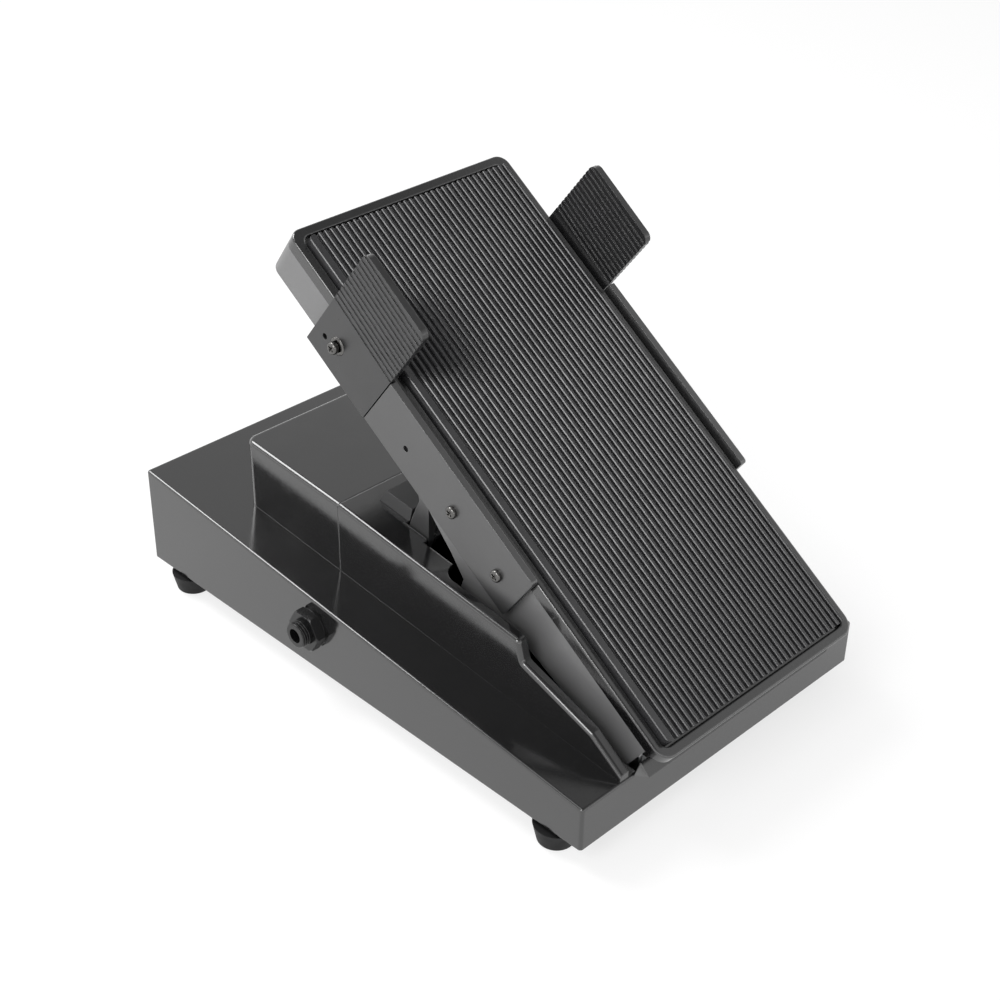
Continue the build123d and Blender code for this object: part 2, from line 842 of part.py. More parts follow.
# Drive arm with its toothed sector
def tooth_flank(teeth, thin, steps=5):
    """Half a tooth's involute flank as polar points (radius, half angle), from the root outwards."""
    radius = module * teeth / 2
    slant = math.radians(pressure_angle)
    base = radius * math.cos(slant)
    tip = radius + module
    start = max(base, radius - module)
    half = math.pi / (2 * teeth) - thin / (2 * radius)
    centre = half + math.tan(slant) - slant
    points = []
    for step in range(steps + 1):
        r = start + (tip - start) * step / steps
        lean = math.acos(min(1.0, base / r))
        points.append((r, centre - (math.tan(lean) - lean)))
    return points


def tooth_points(teeth, middle, thin):
    """One tooth's outline round the gear's own centre, with its middle at an angle in radians."""
    flank = tooth_flank(teeth, thin)
    root = module * teeth / 2 - 1.25 * module
    rising = [(root, flank[0][1])] + flank
    falling = [(r, -a) for r, a in reversed(rising)]
    outline = [(r, middle - a) for r, a in rising] + [(r, middle - a) for r, a in falling]
    return [(r * math.cos(a), r * math.sin(a)) for r, a in outline]


def pinion_place():
    return around_hinge(mesh_distance, pinion_angle)


def tooth_step():
    return 2 * math.pi / sector_teeth


def drive_arm():
    """Arm in the case frame: an arc with teeth outside, an upright head and a flange under the tread."""
    root = pitch_radius - 1.25 * module
    last = math.radians(sector_last_angle)
    first = math.radians(sector_first_angle)
    mesh = math.radians(pinion_angle)
    outline = []
    low = math.floor((mesh - first) / tooth_step())
    high = math.floor((last - mesh) / tooth_step())
    for index in range(-low, high + 1):
        middle = mesh + (index + 0.5) * tooth_step()
        outline += [(hinge_y + y, hinge_z + z) for y, z in tooth_points(sector_teeth, middle, backlash)]
    end_angle = math.degrees(math.asin(arm_bend_height / arm_outer_radius))
    inner_end = math.degrees(math.acos((arm_edge() - hinge_y) / arm_inner_radius))
    turns = 24
    outer_start = math.degrees(mesh + (high + 1.1) * tooth_step())
    inner_start = math.degrees(mesh - (low + 0.1) * tooth_step())
    outline.append(around_hinge(arm_outer_radius, outer_start + 0.6))
    for step in range(1, turns + 1):
        angle = outer_start + 0.6 + (end_angle - outer_start - 0.6) * step / turns
        outline.append(around_hinge(arm_outer_radius, angle))
    head_top = hinge_z + arm_head_height
    outline.append((hinge_y + arm_head_reach, head_top))
    outline.append((arm_edge(), head_top))
    for step in range(turns + 1):
        angle = inner_end + (inner_start - inner_end) * step / turns
        outline.append(around_hinge(arm_inner_radius, angle))
    outline.append(around_hinge(root, inner_start))
    arm = prism_x(outline, arm_left, arm_left + arm_thickness)
    top = -floor_underside
    arm -= on_treadle(box(-far, far, -far, far, top, far))
    u0 = arm_flange_start()
    x0 = arm_left - treadle_left
    flange = box(x0, x0 + arm_flange_width, u0, u0 + arm_flange_length, top - bracket_sheet, top)
    for x, u in arm_screw_places():
        flange -= rod_z(medium_shank, -far, 0, x, u)
    arm += on_treadle(flange)
    y, z = stop_pin_place()
    return arm - rod_x(stop_pin_radius, arm_left - 1, arm_left + 9, y, z)


def arm_flange_start():
    """Where the arm's flange starts along the tread."""
    drop = floor_underside * math.sin(tilt_radians)
    return (arm_edge() - heel_y - drop) / math.cos(tilt_radians) - 4


def arm_screw_places():
    x = arm_left - treadle_left + arm_thickness + (arm_flange_width - arm_thickness) / 2
    u0 = arm_flange_start()
    return [(x, u0 + arm_flange_length * share) for share in (0.25, 0.75)]


def stop_pin_place():
    return around_hinge(stop_pin_reach, stop_pin_angle)


def stop_sleeve_radius():
    """The sleeve reaches the hood's underside, but for a small gap."""
    y, z = stop_pin_place()
    slope = (hood_seam_top - hood_step_top) / (hood_seam - hood_step)
    return (hood_top(y) - hood_wall - z) / math.hypot(1, slope) - stop_gap


def pinion():
    y, z = pinion_place()
    outline = []
    facing_back = math.radians(180 + pinion_angle)
    for index in range(pinion_teeth):
        middle = facing_back + index * 2 * math.pi / pinion_teeth
        outline += [(y + a, z + b) for a, b in tooth_points(pinion_teeth, middle, backlash)]
    middle_x = arm_left + arm_thickness / 2
    gear = prism_x(outline, middle_x - pinion_width / 2, middle_x + pinion_width / 2)
    return gear - rod_x(shaft_radius, middle_x - 9, middle_x + 9, y, z)


def pot_shaft():
    y, z = pinion_place()
    return rod_x(shaft_radius, arm_left + arm_thickness / 2 - pinion_width / 2 - pot_shaft_start,
                 pot_bracket_left + bracket_sheet + pot_shaft_end, y, z)


def pot_bracket_screws():
    y = pinion_place()[0]
    x = pot_bracket_left + pot_bracket_leg - pot_screw_inset
    return [(x, y - pot_screw_reach), (x, y + pot_screw_reach)]


def pot_bracket():
    y, z = pinion_place()
    half = pot_bracket_width / 2
    x0 = pot_bracket_left
    plate = box(x0, x0 + bracket_sheet, y - half, y + half, sheet, z + half)
    plate = fillet([e for e in plate.edges().filter_by(Axis.X) if e.center().Z > z], pot_bracket_corner)
    plate += box(x0, x0 + pot_bracket_leg, y - half, y + half, sheet, sheet + bracket_sheet)
    plate -= rod_x(pot_bush_radius, x0 - 1, x0 + 5, y, z)
    for x, row in pot_bracket_screws():
        plate -= rod_z(medium_shank, 0, 9, x, row)
    return plate


def pot_body():
    y, z = pinion_place()
    x0 = pot_bracket_left + bracket_sheet
    can = rod_x(pot_radius, x0, x0 + pot_depth, y, z)
    can = fillet(can.edges().group_by(Axis.X)[-1], pot_can_round)
    bush = rod_x(pot_bush_radius, x0 - pot_bush_length, x0, y, z)
    bore = rod_x(shaft_radius + running_clearance, x0 - pot_bush_length - 1, x0 + pot_bore_end, y, z)
    return can + bush - bore


def pot_nut():
    y, z = pinion_place()
    nut = hexagon(pot_nut_flats, 0, pot_nut_height) - rod_z(pot_bush_radius, -1, pot_nut_height + 1, 0, 0)
    return nut.moved(facing((-1, 0, 0), (pot_bracket_left, y, z)))


def pot_lugs():
    """Three solder lugs below the potentiometer's can."""
    y, z = pinion_place()
    x0 = pot_bracket_left + bracket_sheet + pot_lug_inset
    half = pot_lug_width / 2
    low = z - pot_radius - pot_lug_length
    lugs = [box(x0, x0 + pot_lug_thickness, y + step - half, y + step + half, low, z - pot_radius + half)
            for step in pot_lug_steps]
    return Compound(children=[lug - pot_body() for lug in lugs])


# Jacks: along +Z out of the wall, with the wall's outer face at z = 0
def jack_body():
    inner = -sheet
    half = jack_body_width / 2
    tall = jack_body_height / 2
    body = box(-half, half, -tall, tall, inner - jack_body_length, inner)
    body = fillet(body.edges().filter_by(Axis.Z), jack_body_round)
    body += rod_z(jack_bush_radius, inner, jack_bush_length, 0, 0)
    body = fillet(body.edges().group_by(Axis.Z)[-1], jack_bush_round)
    bore_end = inner - jack_body_length + jack_end_wall
    return body - rod_z(jack_hole_radius, bore_end, jack_bush_length + 1, 0, 0)


def jack_washer():
    return tube_z(jack_washer_radius, jack_bush_radius, 0, jack_washer_height, 0, 0)


def jack_nut():
    low = jack_washer_height
    nut = hexagon(jack_nut_flats, low, low + jack_nut_height)
    tip = jack_nut_flats / 2 + jack_nut_cone
    cone = Pos(0, 0, low) * Solid.make_cone(tip + jack_nut_height, tip, jack_nut_height)
    return (nut & cone) - rod_z(jack_bush_radius, 0, far, 0, 0)


def jack_lugs():
    low = -sheet - jack_body_length
    half, thin = jack_lug_width / 2, jack_lug_thickness / 2
    return [box(x - half, x + half, y - thin, y + thin, low - jack_lug_length, low)
            for x, y in jack_lug_places]


def side_jack_place():
    return Plane(origin=(0, side_jack_y, side_jack_z), x_dir=(0, 1, 0), z_dir=(-1, 0, 0)).location


def rear_jack_place():
    origin = (treadle_middle, case_length, rear_jack_z)
    return Plane(origin=origin, x_dir=(1, 0, 0), z_dir=(0, 1, 0)).location


# Rubber stops for the treadle's lowest position
def stop_line():
    """Belly edge at the lowest position: a point of it and its slope."""
    turn = math.radians(-treadle_travel)
    u = (belly_front + belly_rear) / 2
    point = treadle_frame.from_local_coords(Vector(0, u, -belly_depth))
    dy, dz = point.Y - hinge_y, point.Z - hinge_z
    y = hinge_y + dy * math.cos(turn) - dz * math.sin(turn)
    z = hinge_z + dy * math.sin(turn) + dz * math.cos(turn)
    return y, z, math.tan(tilt_radians + turn)


def stop_post_places():
    y = stop_line()[0]
    left = treadle_left + treadle_sheet / 2
    return [(left, y), (2 * treadle_middle - left, y)]


def stop_top(y, drop):
    """Height of the sloping line a given drop under the belly's edge."""
    y0, z0, slope = stop_line()
    return z0 - stop_gap * 1.2 - drop + slope * (y - y0)


def stop_bumper(x, y):
    a, b = y - bumper_half_length, y + bumper_half_length
    outline = [(a, stop_top(a, bumper_height)), (b, stop_top(b, bumper_height)), (b, stop_top(b, 0)),
               (a, stop_top(a, 0))]
    return prism_x(outline, x - bumper_half_width, x + bumper_half_width)


def stop_post(x, y):
    a, b = y - bumper_half_length, y + bumper_half_length
    outline = [(a, sheet), (b, sheet), (b, stop_top(b, bumper_height)), (a, stop_top(a, bumper_height))]
    post = prism_x(outline, x - bumper_half_width, x + bumper_half_width)
    return post - rod_z(medium_shank, 0, 11, x, y)


# Terminal board on the rear part of the base plate
def board_holes():
    x, y = board_place
    dx, dy = board_length / 2 - board_hole_inset, board_width / 2 - board_hole_inset
    return [(x + a * dx, y + b * dy) for a in (-1, 1) for b in (-1, 1)]


def terminal_board():
    x, y = board_place
    low = sheet + standoff_height
    board = box(x - board_length / 2, x + board_length / 2, y - board_width / 2, y + board_width / 2,
                low, low + board_thickness)
    for hx, hy in board_holes():
        board -= rod_z(medium_shank, 0, 30, hx, hy)
    return board


# Kick brackets and paddles, for the left side in the treadle frame
def plate_yz(x0, x1, corners, radius, rounded):
    """Plate with a YZ outline, with some of its corners rounded."""
    plate = prism_x(corners, x0, x1)
    return fillet([e for e in plate.edges().filter_by(Axis.X) if rounded(e.center())], radius)


def knuckle(z0, z1):
    """Round knuckle of the paddle's hinge."""
    return rod_z(kick_knuckle_radius, z0, z1, kick_axis_inset, paddle_front)


def knuckle_bounds():
    """Limits of the three knuckles, from the tread downwards."""
    step = (kick_knuckle_bottom - kick_knuckle_top) / 3
    return [(-kick_knuckle_top - step * (i + 1) + 0.1, -kick_knuckle_top - step * i - 0.1) for i in range(3)]


def bracket_rear(h):
    """Rear edge of the bracket at a height in the treadle frame, along the paddle's slanted edge."""
    (low_u, low_h), (top_u, top_h) = paddle_corners[0], paddle_corners[3]
    return low_u + (top_u - low_u) * (h - low_h) / (top_h - low_h) - paddle_gap


def kick_bracket():
    outer, inner = -kick_gap - kick_thickness, -kick_gap
    corners = [(bracket_front, -bracket_bottom), (bracket_rear(-bracket_bottom), -bracket_bottom),
               (bracket_rear(bracket_top), bracket_top), (bracket_front, bracket_top)]
    plate = plate_yz(outer, inner, corners, bracket_corner, lambda c: c.Y < bracket_front + 1)
    z0, z1 = knuckle_bounds()[1]
    web = box(inner - 0.5, kick_axis_inset, paddle_front - kick_knuckle_radius, bracket_rear(0), z0, z1)
    plate += web + knuckle(z0, z1)
    plate -= rod_z(kick_pin_radius, z0 - 1, z1 + 1, kick_axis_inset, paddle_front)
    for u in bracket_screws:
        plate -= rod_x(medium_shank + 0.1, outer - 1, inner + 1, u, -bracket_screw_depth)
    u, d = bracket_hole_place
    return plate - rod_x(pilot_hole_radius, outer - 1, outer + 2, u, -d)


def kick_paddle():
    outer, inner = -kick_gap - kick_thickness, -kick_gap
    plate = plate_yz(outer, inner, paddle_corners, paddle_corner, lambda c: c.Z > 0)
    u, h = rib_start
    for index in range(rib_count):
        for face in (outer, inner):
            groove = Box(2 * rib_depth, case_width, rib_groove)
            plate -= Pos(face, u, h + index * rib_pitch) * Rot(rib_tilt, 0, 0) * groove
    for z0, z1 in (knuckle_bounds()[0], knuckle_bounds()[2]):
        web = box(inner - 0.5, kick_axis_inset, paddle_front + 0.3, paddle_front + kick_knuckle_radius,
                  z0, z1)
        plate += web + knuckle(z0, z1)
        plate -= rod_z(kick_pin_radius + running_clearance, z0 - 1, z1 + 1, kick_axis_inset, paddle_front)
    u, d = stop_screw_place
    plate -= rod_x(paddle_hole_radius, outer - 1, inner + 1, u, -d)
    u, d = pilot_hole_place
    return plate - rod_x(pilot_hole_radius, outer - 1, outer + 2, u, -d)


def kick_pin():
    return rod_z(kick_pin_radius, -kick_knuckle_bottom - 0.4, -kick_knuckle_top + 0.4,
                 kick_axis_inset, paddle_front)


def stop_screw():
    """Shoulder screw: its head stands clear of the paddle and stops the paddle's swing."""
    u, d = stop_screw_place
    seat = -kick_gap - kick_thickness - spring_washer_height - stop_head_gap
    screw = pan_screw("medium", 1.0)
    screw += rod_z(stop_screw_radius, seat, 0, 0, 0)
    screw += rod_z(medium_shank, seat - treadle_sheet - 3.0, seat, 0, 0)
    return screw.moved(facing((-1, 0, 0), (seat, u, -d)))


def kick_nut(u, d):
    """Nut behind the treadle's side wall."""
    nut = hexagon(kick_nut_flats, 0, kick_nut_height) - rod_z(medium_shank, -1, kick_nut_height + 1, 0, 0)
    return nut.moved(facing((1, 0, 0), (treadle_sheet, u, -d)))


def spring_washer():
    """Conical spring washer round the stop screw, on the paddle's outer face."""
    u, d = stop_screw_place
    high = spring_washer_height
    bore = rod_z(stop_screw_radius + spring_washer_gap, -1, high + 1, 0, 0)
    ring = Solid.make_cone(spring_washer_radius, spring_washer_top, high) - bore
    return ring.moved(facing((-1, 0, 0), (-kick_gap - kick_thickness, u, -d)))


def bracket_screw(u):
    seat = -kick_gap - kick_thickness
    screw = pan_screw("medium", kick_thickness + kick_gap + treadle_sheet + 2)
    return screw.moved(facing((-1, 0, 0), (seat, u, -bracket_screw_depth)))


def bracket_spacer(u):
    return ring_x(spacer_radius, medium_shank, -kick_gap, 0, u, -bracket_screw_depth)


def switch_board():
    u, d = switch_place
    long, tall, thick = switch_board_size
    board = box(switch_board_inset, switch_board_inset + thick, u - long / 2, u + long / 2,
                -d - tall / 2, -d + tall / 2)
    for side in (-1, 1):
        y = u + side * switch_stud_spacing / 2
        board -= rod_x(small_shank, 0, 20, y, -d)
    return board


def kick_switch():
    """Snap switch on its board, with a bore for the plunger."""
    u, d = switch_place
    half = switch_size / 2
    body = box(switch_board_inset - switch_height, switch_board_inset, u - half, u + half,
               -d - half, -d + half)
    return body - rod_x(plunger_radius + running_clearance, 0, switch_board_inset - 0.6, u, -d)


def plunger():
    u, d = switch_place
    return rod_x(plunger_radius, -kick_gap + plunger_gap, switch_board_inset - 1.0, u, -d)


def switch_studs():
    """Clinched studs that hold the switch board, each with its nut."""
    u, d = switch_place
    radius = small_shank
    thick = switch_board_size[2]
    studs = []
    for side in (-1, 1):
        y = u + side * switch_stud_spacing / 2
        stud = rod_x(radius, 0, switch_board_inset + thick + 1.6, y, -d)
        stud += rod_x(radius * 1.7, treadle_sheet, switch_board_inset, y, -d)
        stud += rod_x(radius * 1.9, switch_board_inset + thick, switch_board_inset + thick + 1.2, y, -d)
        studs.append(stud)
    return studs


def both_sides(shapes):
    """Left and right copies of treadle pieces, in the case frame."""
    copies = [on_treadle(shape) for shape in shapes]
    copies += [on_treadle(mirrored(shape)) for shape in shapes]
    return Compound(children=copies)


# Assemble
parts["case_shell"] = case_shell()
parts["base_plate"] = base_plate()
parts["base_screws"] = Compound(children=[
    pan_screw("medium", sheet + bracket_sheet).moved(facing((0, 0, -1), (x, y, 0)))
    for x, y in base_screw_places() + floor_screw_places()])
for name, (x, y) in foot_places().items():
    parts[name] = foot(x, y)
parts["foot_screws"] = Compound(children=[
    pan_screw("large", -foot_seat() + sheet + foot_screw_end).moved(facing((0, 0, -1), (x, y, foot_seat())))
    for x, y in foot_places().values()])
foot_nut = hexagon(foot_nut_flats, sheet, sheet + foot_nut_height)
foot_nut -= rod_z(large_shank, 0, sheet + foot_nut_height + 1, 0, 0)
parts["foot_nuts"] = Compound(children=[Pos(x, y, 0) * foot_nut for x, y in foot_places().values()])
parts["front_hood"], parts["rear_hood"] = hood_pieces()
parts["hood_joint_strip"] = hood_strip()
parts["hood_screws"] = Compound(children=[
    pan_screw("medium", sheet + hood_wall + screw_end).moved(hood_screw_line(*place))
    for place in hood_screw_places()])
parts["slot_collar"] = slot_collar()
parts["side_jack"] = jack_body().moved(side_jack_place())
parts["rear_jack"] = jack_body().moved(rear_jack_place())
jack_places = (side_jack_place(), rear_jack_place())
parts["jack_washers"] = Compound(children=[jack_washer().moved(place) for place in jack_places])
parts["jack_nuts"] = Compound(children=[jack_nut().moved(place) for place in jack_places])
parts["jack_lugs"] = Compound(children=[lug.moved(place) for place in jack_places for lug in jack_lugs()])
parts["hinge_bracket_left"] = hinge_bracket(0)
parts["hinge_bracket_right"] = hinge_bracket(1)
parts["hinge_bushes"] = Compound(children=[hinge_bush(), across(hinge_bush())])
parts["pot_bracket"] = pot_bracket()
parts["pot_body"] = pot_body()
parts["pot_nut"] = pot_nut()
parts["pot_lugs"] = pot_lugs()
parts["terminal_board"] = terminal_board()
parts["board_standoffs"] = Compound(children=[
    tube_z(standoff_radius, medium_shank, sheet, sheet + standoff_height, x, y)
    for x, y in board_holes()])
board_stack = standoff_height + board_thickness
parts["board_screws"] = Compound(children=[
    Pos(x, y, sheet + board_stack) * pan_screw("medium", board_stack)
    for x, y in board_holes()])
parts["stop_posts"] = Compound(children=[stop_post(x, y) for x, y in stop_post_places()])
parts["stop_bumpers"] = Compound(children=[stop_bumper(x, y) for x, y in stop_post_places()])
parts["treadle_pan"] = on_treadle(treadle_pan())
parts["tread_mat"] = on_treadle(tread_mat())
parts["hinge_channel"] = on_treadle(hinge_channel())
parts["channel_rivets"] = on_treadle(channel_rivets())
parts["hinge_axle"] = hinge_axle()
clip_right = hinge_bracket_left - clip_gap
clip = ring_x(clip_radius, axle_radius, clip_right - clip_thickness, clip_right, hinge_y, hinge_z)
parts["axle_clips"] = Compound(children=[clip, across(clip)])
washer_left = hinge_bracket_left + bracket_sheet + bush_flange + washer_gap
friction_washer = ring_x(friction_washer_radius, axle_radius, washer_left, washer_left + washer_thickness,
                         hinge_y, hinge_z)
parts["friction_washers"] = Compound(children=[friction_washer, across(friction_washer)])
parts["drive_arm"] = drive_arm()
arm_screw = pan_screw("medium", bracket_sheet)
parts["arm_screws"] = on_treadle(Compound(children=[
    arm_screw.moved(facing((0, 0, -1), (x, u, -floor_underside - bracket_sheet)))
    for x, u in arm_screw_places()]))
pin_y, pin_z = stop_pin_place()
pin_middle = arm_left + arm_thickness / 2
parts["arm_stop_pin"] = rod_x(stop_pin_radius, pin_middle - stop_pin_length / 2,
                              pin_middle + stop_pin_length / 2, pin_y, pin_z)
parts["arm_stop_sleeves"] = Compound(children=[
    ring_x(stop_sleeve_radius(), stop_pin_radius, x0, x1, pin_y, pin_z)
    for x0, x1 in ((pin_middle - stop_pin_length / 2, arm_left),
                   (arm_left + arm_thickness, pin_middle + stop_pin_length / 2))])
parts["left_kick_bracket"] = on_treadle(kick_bracket())
parts["right_kick_bracket"] = on_treadle(mirrored(kick_bracket()))
parts["kick_bracket_screws"] = both_sides([bracket_screw(u) for u in bracket_screws])
parts["kick_bracket_spacers"] = both_sides([bracket_spacer(u) for u in bracket_screws])
parts["kick_pins"] = both_sides([kick_pin()])
parts["kick_stop_screws"] = both_sides([stop_screw()])
parts["kick_nuts"] = both_sides([kick_nut(u, bracket_screw_depth) for u in bracket_screws]
                                + [kick_nut(*stop_screw_place)])
parts["switch_boards"] = both_sides([switch_board()])
parts["kick_switches"] = both_sides([kick_switch()])
parts["switch_studs"] = both_sides(switch_studs())
parts["left_kick_paddle"] = on_treadle(kick_paddle())
parts["right_kick_paddle"] = on_treadle(mirrored(kick_paddle()))
parts["left_spring_washer"] = on_treadle(spring_washer())
parts["right_spring_washer"] = on_treadle(mirrored(spring_washer()))
parts["left_plunger"] = on_treadle(plunger())
parts["right_plunger"] = on_treadle(mirrored(plunger()))
parts["pinion"] = pinion()
parts["pot_shaft"] = pot_shaft()

# Move the origin to the middle of the whole pedal's footprint, at the feet
whole = [shape.bounding_box() for shape in parts.values()]
low_x, high_x = min(b.min.X for b in whole), max(b.max.X for b in whole)
low_y, high_y = min(b.min.Y for b in whole), max(b.max.Y for b in whole)
origin = Vector((low_x + high_x) / 2, (low_y + high_y) / 2, -foot_height)
os.makedirs("parts", exist_ok=True)
for name, shape in parts.items():
    moved = Compound(children=list(shape.solids())).moved(Location(-origin))
    solids = moved.solids()
    export_step(solids[0] if len(solids) == 1 else moved, f"parts/{name}.step")

# Places of the joints and mounts in the finished frame
print("origin in the case frame", origin)
print("treadle hinge", Vector(treadle_middle, hinge_y, hinge_z) - origin)
print("pinion", Vector(pot_bracket_left, *pinion_place()) - origin)
knuckle_middle = -(kick_knuckle_top + kick_knuckle_bottom) / 2
for side, x in (("left", kick_axis_inset), ("right", treadle_width - kick_axis_inset)):
    place = treadle_frame.from_local_coords(Vector(x, paddle_front, knuckle_middle))
    print(side, "kick axis", place - origin)
u, d = switch_place
print("left plunger", treadle_frame.from_local_coords(Vector(0, u, -d)) - origin)
print("treadle normal", treadle_frame.z_dir)
print("side jack", Vector(0, side_jack_y, side_jack_z) - origin)
print("rear jack", Vector(treadle_middle, case_length, rear_jack_z) - origin)
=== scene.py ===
# Looks of the expression pedal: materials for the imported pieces, small added details, light and camera.
import bpy
import json
import math
from mathutils import Matrix, Vector


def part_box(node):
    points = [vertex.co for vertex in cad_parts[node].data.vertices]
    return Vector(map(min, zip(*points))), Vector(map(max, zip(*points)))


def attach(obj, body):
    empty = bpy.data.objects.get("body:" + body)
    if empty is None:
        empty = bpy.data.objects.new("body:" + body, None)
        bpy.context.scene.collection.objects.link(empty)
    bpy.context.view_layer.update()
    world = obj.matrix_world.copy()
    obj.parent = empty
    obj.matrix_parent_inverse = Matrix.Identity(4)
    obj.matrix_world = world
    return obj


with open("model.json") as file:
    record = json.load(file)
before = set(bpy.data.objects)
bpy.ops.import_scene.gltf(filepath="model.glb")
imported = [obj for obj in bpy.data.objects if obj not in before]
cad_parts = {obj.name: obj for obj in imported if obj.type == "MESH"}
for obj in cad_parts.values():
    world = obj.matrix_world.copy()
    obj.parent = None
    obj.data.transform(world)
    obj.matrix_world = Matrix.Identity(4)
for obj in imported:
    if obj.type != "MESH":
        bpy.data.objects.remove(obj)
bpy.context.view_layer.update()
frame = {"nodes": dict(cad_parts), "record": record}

# Camera
camera_place = (-0.4418, -0.44314, 0.4754)
camera_right = (0.7006, -0.7136, 0.0)
camera_up = (0.3899, 0.3828, 0.8375)
camera_back = (-0.5976, -0.5867, 0.5465)
camera_roll = 1.070
camera_lens = 64.38
sensor_width = 36.0
camera_near = 0.01
camera_far = 50.0

# Treadle frame: a point of its heel edge, its slope, and how far its glossy rim reaches down, where the
# painted reflection on its sides begins
treadle_heel = (-0.0456, -0.140926, 0.0389)
treadle_tilt = 34.75
rim_reach = 0.0053
rim_blend = 0.0001

# Paint: its refractive index, and the scale of its patches, uneven gloss and specks per metre
paint_index = 1.65
patch_scale = 26.0
gloss_scale = 60.0
speck_scale = 900.0
gloss_change = 0.03
speck_change = 0.02
peel_depth = 0.012
edge_samples = 6

# Rubber: the size of its pores in metres, and their depth as a share of it
pore_size = 0.0005
pore_depth = 0.03

# Colours, as linear values
black_coat = (0.006, 0.006, 0.0062)
rim_black = (0.005, 0.005, 0.0053)
# Painted reflection: the treadle's sides below the rim are lighter grey, standing in for the bright
# surroundings they reflect
treadle_wall_painted_reflection = (0.1, 0.1, 0.101)
kick_coat = (0.017, 0.017, 0.0174)
mat_black = (0.014, 0.014, 0.015)
foot_black = (0.0035, 0.0035, 0.0037)
plastic_black = (0.0075, 0.0075, 0.008)
jack_black = (0.005, 0.005, 0.0053)
screw_nickel = (0.14, 0.137, 0.133)
zinc_plate = (0.56, 0.57, 0.58)
nylon_white = (0.72, 0.70, 0.62)
brass_yellow = (0.72, 0.52, 0.22)
board_green = (0.03, 0.16, 0.06)
floor_white = (0.93, 0.93, 0.93)

# Copper lines of the circuit board
trace_scale = 160.0
trace_width = 0.035

# Screw thread of the jack bushings: it starts past the nut and stops short of the bushing's round end
thread_radius = 0.0055
thread_height = 0.0003
thread_pitch = 0.0011
thread_turns = 2.8
thread_start = 0.0056
thread_steps = 48
thread_fade_steps = 12
thread_profile = ((-0.32, -0.1), (-0.08, 1.0), (0.08, 1.0), (0.32, -0.1))

# Surroundings: sines of heights over the horizon with the brightness there, and the world's strength
sky_strength = 2.6
sky_bands = (
    (0.05, 0.7),
    (0.08, 2.3),
    (0.2, 2.3),
    (0.3, 0.85),
    (0.55, 1.05),
    (0.6, 0.7),
    (0.7, 0.7),
    (0.78, 0.25),
)

# Lamps: name, place, target, size in metres and power in watts
lamps = (
    ("left", (-1.05, -0.25, 0.97), (0, 0, 0.1), 0.62, 9.0),
    ("back_left", (-0.25, 0.74, 1.0), (0, 0, 0.05), 0.6, 10.0),
    ("key", (-0.4, 0.3, 1.5), (0, 0, 0.05), 0.6, 2.0),
)

# Floor: half its side, and the share of plain white that it shows to the camera and in reflections
floor_reach = 6.0
floor_glow = 0.72


def camera():
    turn = math.radians(camera_roll)
    right = Vector(camera_right)
    up = Vector(camera_up)
    across = right * math.cos(turn) + up * math.sin(turn)
    upward = up * math.cos(turn) - right * math.sin(turn)
    pose = Matrix((across, upward, Vector(camera_back))).transposed().to_4x4()
    pose.translation = Vector(camera_place)
    data = bpy.data.cameras.new("camera")
    data.lens = camera_lens
    data.sensor_width = sensor_width
    data.clip_start = camera_near
    data.clip_end = camera_far
    item = bpy.data.objects.new("camera", data)
    item.matrix_world = pose
    bpy.context.scene.collection.objects.link(item)
    bpy.context.scene.camera = item


class Tree:
    """A material's node tree, with short calls for the nodes used here."""

    def __init__(self, name):
        self.material = bpy.data.materials.new(name)
        self.material.use_nodes = True
        self.tree = self.material.node_tree
        self.shader = self.tree.nodes["Principled BSDF"]
        self.place = self.add("ShaderNodeTexCoord").outputs["Object"]

    def add(self, kind, **settings):
        node = self.tree.nodes.new(kind)
        for key, value in settings.items():
            setattr(node, key, value)
        return node

    def link(self, source, target):
        self.tree.links.new(source, target)

    def noise(self, scale, detail=2.0, rough=0.5):
        node = self.add("ShaderNodeTexNoise")
        node.inputs["Scale"].default_value = scale
        node.inputs["Detail"].default_value = detail
        node.inputs["Roughness"].default_value = rough
        self.link(self.place, node.inputs["Vector"])
        return node.outputs["Fac"]

    def ranged(self, source, low, high, start=0.3, end=0.7):
        """A value that runs from low to high while the source runs from start to end."""
        node = self.add("ShaderNodeMapRange")
        node.inputs["From Min"].default_value = start
        node.inputs["From Max"].default_value = end
        node.inputs["To Min"].default_value = low
        node.inputs["To Max"].default_value = high
        self.link(source, node.inputs["Value"])
        return node.outputs["Result"]

    def mix(self, factor, first, second):
        node = self.add("ShaderNodeMix", data_type="RGBA")
        self.link(factor, node.inputs[0])
        for socket, value in ((node.inputs[6], first), (node.inputs[7], second)):
            if isinstance(value, tuple):
                socket.default_value = (*value, 1.0)
            else:
                self.link(value, socket)
        return node.outputs[2]

    def sum(self, first, second):
        node = self.add("ShaderNodeMath", operation="ADD")
        self.link(first, node.inputs[0])
        self.link(second, node.inputs[1])
        return node.outputs[0]

    def relief(self, height, depth, edge):
        """Bump of a given depth in metres over edges softened by a given radius."""
        soft = self.add("ShaderNodeBevel", samples=edge_samples)
        soft.inputs["Radius"].default_value = edge
        bump = self.add("ShaderNodeBump")
        bump.inputs["Strength"].default_value = 1.0
        bump.inputs["Distance"].default_value = depth
        self.link(height, bump.inputs["Height"])
        self.link(soft.outputs["Normal"], bump.inputs["Normal"])
        self.link(bump.outputs["Normal"], self.shader.inputs["Normal"])

    def above_line(self, tilt, point, offset):
        """From 0 below to 1 above a plane that slopes up towards +Y."""
        normal = Vector((0, -math.sin(tilt), math.cos(tilt)))
        height = self.add("ShaderNodeVectorMath", operation="DOT_PRODUCT")
        height.inputs[1].default_value = normal
        self.link(self.place, height.inputs[0])
        level = normal.dot(Vector(point)) + offset
        return self.ranged(height.outputs["Value"], 0.0, 1.0, level - rim_blend, level + rim_blend)


def shade(colour, share):
    return tuple(min(1.0, value * share) for value in colour)


